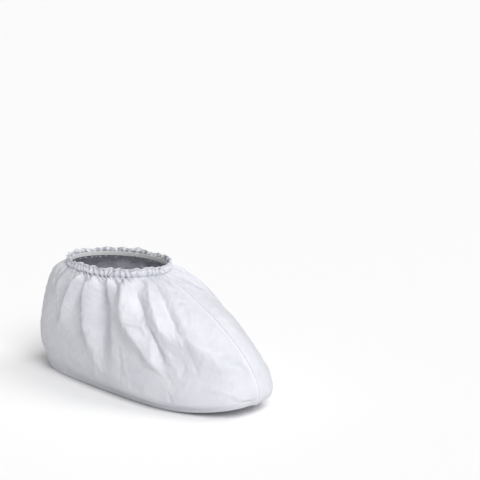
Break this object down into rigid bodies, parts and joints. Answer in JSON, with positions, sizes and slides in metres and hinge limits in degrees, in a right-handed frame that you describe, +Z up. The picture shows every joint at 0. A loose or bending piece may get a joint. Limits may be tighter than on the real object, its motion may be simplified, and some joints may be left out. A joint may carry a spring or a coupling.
{
  "type": "microporous shoe cover",
  "caption": "Ankle-high white cloth overshoe with gathered elastic ankle, frilled hem, instep and heel seams and a flat soft sole; pulled over a shoe to keep dirt and fluids off.",
  "frame": {"origin": "on the floor under the middle of the object's box", "axes": "+X to the toe, +Z up, the outer side faces -Y"},
  "size_m": [0.3266, 0.1296, 0.1443],
  "materials": {
    "microporous_cloth": "cool white laminated nonwoven, satin",
    "seam_cloth": "doubled and stitched white nonwoven, satin",
    "elastic": "white covered elastic, ribbed, matte"
  },
  "bodies": {
    "root": {"outer_panel": "microporous_cloth", "inner_panel": "microporous_cloth", "ankle_hem": "microporous_cloth", "instep_seam": "seam_cloth", "heel_seam": "seam_cloth", "ankle_elastic": "elastic"}
  },
  "joints": []
}
